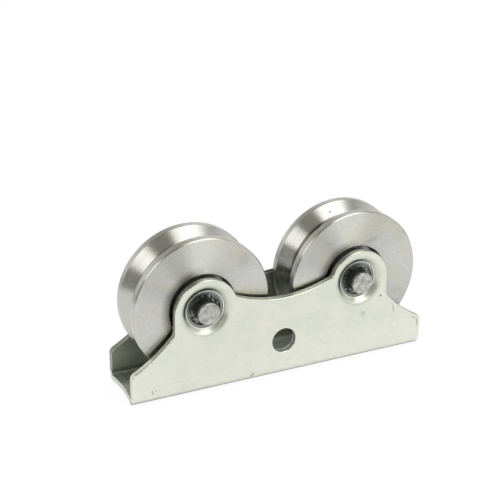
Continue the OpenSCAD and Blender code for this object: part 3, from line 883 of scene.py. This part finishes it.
def bracket():
    """The folded channel with a dish pressed round each axle end and a fixing hole through both walls."""
    rows = fold_rows()
    outline = blank_outline(rows)
    profile = edge_profile()
    points, faces = [], []

    def band(loops):
        """Joins loops of points, each to the next, with four-sided faces."""
        start, count = len(points), len(loops[0])
        for loop in loops:
            points.extend(loop)
        for k in range(len(loops) - 1):
            for i in range(count):
                j = (i + 1) % count
                a, b = start + k * count, start + (k + 1) * count
                faces.append((a + i, a + j, b + j, b + i))

    dishes = [(sx * AXLE_X, sy * developed(AXLE_H)) for sx in BOTH for sy in BOTH]
    fixings = [(0, sy * developed(FIXING_H)) for sy in BOTH]

    band([[folded(p.x, p.y, depth) for p in inset(outline, inner)] for inner, depth in profile])
    for cx, cy in fixings:
        band([[folded(p.x, p.y, depth) for p in ring_points(cx, cy, FIXING_R + inner, HOLE_SEGMENTS)]
              for inner, depth in profile])
    for cx, cy in dishes:
        side = 1 if cy > 0 else -1
        band([[Vector((p.x, side * (WALL_Y - q.y), p.y)) for p in ring_points(cx, AXLE_H, q.x, DISH_SEGMENTS)]
              for q in dish_section()])

    for inner, depth in (profile[0], profile[-1]):
        loop = inset(outline, inner)
        holes = [(cx, cy, DISH_R, DISH_SEGMENTS) for cx, cy in dishes]
        holes += [(cx, cy, FIXING_R + inner, HOLE_SEGMENTS) for cx, cy in fixings]
        flat, edges = list(loop), [(i, (i + 1) % len(loop)) for i in range(len(loop))]
        for v in rows:
            if WEB_FLAT <= abs(v) <= WEB_FLAT + FOLD_L + 0.01:
                edges.append(tuple(nearest(loop, side, v) for side in BOTH))
        for cx, cy, radius, count in holes:
            start = len(flat)
            ring = ring_points(cx, cy, radius, count)
            flat += ring
            edges += [(start + i, start + (i + 1) % count) for i in range(count)]
        made, _, triangles, *_ = delaunay_2d_cdt(flat, edges, [], 1, 1e-5)
        start = len(points)
        points += [folded(p.x, p.y, depth) for p in made]
        for triangle in triangles:
            middle = sum((made[i] for i in triangle), Vector((0, 0))) / len(triangle)
            if all((middle - Vector((cx, cy))).length > radius * math.cos(math.pi / count)
                   for cx, cy, radius, count in holes):
                faces.append(tuple(start + i for i in triangle))

    add_piece("folded_bracket", points, faces, "bracket_frame", "bracket", [ZINC], sharp_deg=50)


# ---- Axles ----------------------------------------------------------------------------------------

PIN_CLEARANCE = 0.02
PIN_SEGMENTS = 96


def axle(side_name, centre_x):
    """A pin whose two ends are upset in the pockets of the walls."""
    shaft_r = PIN_HOLE_R - PIN_CLEARANCE
    head_from = WALL_Y - POCKET_DEPTH + PIN_CLEARANCE
    half = [(0, AXLE_END, 0), (AXLE_R, AXLE_END, 0.35), (AXLE_R, head_from, 0.05), (shaft_r, head_from, 0)]
    section = rounded(half + [(r, -y, rounding) for r, y, rounding in half[::-1]], 5)
    points, faces = lathe(section, centre_x, PIN_SEGMENTS)
    add_piece(f"{side_name}_pin", points, faces, "bracket_frame", f"{side_name}_axle",
              [AXLE_STEEL])


# ---- Build ----------------------------------------------------------------------------------------

bracket()
for side_name, centre_x in zip(SIDES, (-AXLE_X, AXLE_X)):
    wheel(side_name, centre_x)
    axle(side_name, centre_x)

FINISHES = {
    "bearing_outer_ring": "bearing_steel", "bearing_inner_ring": "bearing_steel",
    "bearing_balls": "ball_steel",
    "cage_front": "cage_steel", "cage_back": "cage_steel", "cage_rivets": "cage_steel",
    "shield_front": "shield_steel", "shield_back": "shield_steel",
    "spacer_front": "axle_steel", "spacer_back": "axle_steel",
}
for side_name in SIDES:
    for part, finish in FINISHES.items():
        for material_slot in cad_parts[f"{side_name}_{part}"].material_slots:
            material_slot.link = "OBJECT"
            material_slot.material = INNER_STEELS[finish]


# ---- Studio ---------------------------------------------------------------------------------------

# Degrees, and millimetres.
CAMERA_AZIMUTH = -25.486
CAMERA_HEIGHT_ANGLE = 22.940
CAMERA_ROLL = 0.647
CAMERA_DISTANCE = 326.591
CAMERA_SIDEWAYS = -8.778
CAMERA_UPWARD = 12.088
CAMERA_LENS = 86.494
CAMERA_SENSOR = 36

# Distance in metres, azimuth from +X and height angle in degrees, width and height in metres, brightness.
LAMPS = {
    "overhead": (0.45, -57, 55, 0.29, 0.32, 2.0),
    "left": (0.45, -143, 31, 0.15, 0.21, 2.3),
    "front_right": (0.43, -66, 22, 0.32, 0.24, 1.15),
    "front": (0.42, -108, 17, 0.24, 0.20, 0.15),
}

WHITE = (1, 1, 1)
MATT_WHITE = (0.8, 0.8, 0.8)
FAR_TABLE = (0.25, 0.25, 0.25)
DIM_ROOM = (0.29, 0.29, 0.25)
TABLE_HALF = 3
TABLE_DROP = 0.0002
TABLE_GLOW = 1.02


def camera():
    """A camera left of the front and a little above, aimed near the middle between the axles."""
    a, e, r = (math.radians(d) for d in (CAMERA_AZIMUTH, CAMERA_HEIGHT_ANGLE, CAMERA_ROLL))
    back = Vector((math.sin(a) * math.cos(e), -math.cos(a) * math.cos(e), math.sin(e)))
    right = Vector((math.cos(a), math.sin(a), 0))
    up = back.cross(right)
    place = Vector((0, 0, AXLE_H)) + back * CAMERA_DISTANCE + right * CAMERA_SIDEWAYS + up * CAMERA_UPWARD
    right_rolled = right * math.cos(r) + up * math.sin(r)
    up_rolled = up * math.cos(r) - right * math.sin(r)
    data = bpy.data.cameras.new("camera")
    data.lens = CAMERA_LENS
    data.sensor_width = CAMERA_SENSOR
    data.clip_start, data.clip_end = 0.01, 20
    item = bpy.data.objects.new("camera", data)
    turned = Matrix((right_rolled, up_rolled, back)).transposed().to_4x4()
    item.matrix_world = Matrix.Translation(place * MM) @ turned
    bpy.context.scene.collection.objects.link(item)
    bpy.context.scene.camera = item


def softbox(name, distance, azimuth, height_angle, width, height, brightness):
    """A rectangular lamp aimed at the wheels."""
    a, e = math.radians(azimuth), math.radians(height_angle)
    way = Vector((math.cos(a) * math.cos(e), math.sin(a) * math.cos(e), math.sin(e)))
    data = bpy.data.lights.new(name, "AREA")
    data.shape = "RECTANGLE"
    data.size, data.size_y = width, height
    data.energy = brightness * math.pi * width * height
    item = bpy.data.objects.new(name, data)
    item.location = Vector((0, 0, AXLE_H * MM)) + way * distance
    item.rotation_euler = way.to_track_quat("Z", "Y").to_euler()
    bpy.context.scene.collection.objects.link(item)


def floor():
    """A white table that keeps a faint shadow. Its far part is dim in reflections."""
    mesh = bpy.data.meshes.new("table")
    corners = [(TABLE_HALF * x, TABLE_HALF * y, -TABLE_DROP) for x, y in ((-1, -1), (1, -1), (1, 1), (-1, 1))]
    mesh.from_pydata(corners, [], [(0, 1, 2, 3)])
    item = bpy.data.objects.new("table", mesh)
    bpy.context.scene.collection.objects.link(item)
    material = bpy.data.materials.new("white_table")
    material.use_nodes = True
    material.node_tree.nodes.clear()
    n = Nodes(material.node_tree)
    rays = n.add("ShaderNodeLightPath").outputs
    reflected = n.most(rays["Is Glossy Ray"], rays["Is Transmission Ray"])
    place = n.add("ShaderNodeTexCoord").outputs["Object"]
    along = n.add("ShaderNodeSeparateXYZ", {0: place}).outputs[0]
    faded = n.most(n.remap(n.vector("LENGTH", {0: place}, "Value"), 0.2, 0.4),
                   n.remap(along, -0.055, -0.09, 0.0, 0.1))
    far = n.times(reflected, faded)
    matt = n.add("ShaderNodeBsdfDiffuse", {"Color": n.mix(far, MATT_WHITE, FAR_TABLE)})
    white = n.add("ShaderNodeEmission", {"Color": n.mix(far, WHITE, FAR_TABLE), "Strength": TABLE_GLOW})
    off = n.add("ShaderNodeSeparateXYZ", {0: n.vector("ABSOLUTE", {0: place})}).outputs
    beyond = n.most(n.math("SUBTRACT", off[0], HALF_L * MM), n.math("SUBTRACT", off[1], WALL_Y * MM))
    open_table = n.remap(beyond, -0.002, 0.004, 0.0, 0.6)
    share = n.most(n.times(rays["Is Camera Ray"], 0.9), n.times(reflected, open_table))
    mixed = n.add("ShaderNodeMixShader", {0: share, 1: matt.outputs[0], 2: white.outputs[0]})
    n.add("ShaderNodeOutputMaterial", {"Surface": mixed.outputs[0]})
    mesh.materials.append(material)


def room():
    """A white backdrop behind the table, a pale side and a dark room in front."""
    world = bpy.data.worlds.new("room")
    world.use_nodes = True
    world.node_tree.nodes.clear()
    n = Nodes(world.node_tree)
    way = n.add("ShaderNodeSeparateXYZ", {0: n.add("ShaderNodeTexCoord").outputs["Generated"]}).outputs
    backdrop = n.times(n.remap(way[1], -0.2, 0.3), n.remap(way[2], 0.75, 0.4))
    pale_side = n.times(n.remap(way[0], 0.55, 0.85), n.remap(way[2], 0.3, 0.6, 0.9, 0.5))
    grey = n.mix(n.most(backdrop, pale_side), DIM_ROOM, WHITE)
    rays = n.add("ShaderNodeLightPath").outputs
    white = n.most(rays["Is Camera Ray"], rays["Is Diffuse Ray"])
    background = n.add("ShaderNodeBackground", {"Color": n.mix(white, grey, WHITE)})
    n.add("ShaderNodeOutputWorld", {"Surface": background.outputs[0]})
    bpy.context.scene.world = world


camera()
floor()
room()
for lamp_name, lamp in LAMPS.items():
    softbox(lamp_name, *lamp)

bpy.context.scene.view_settings.view_transform = "Standard"
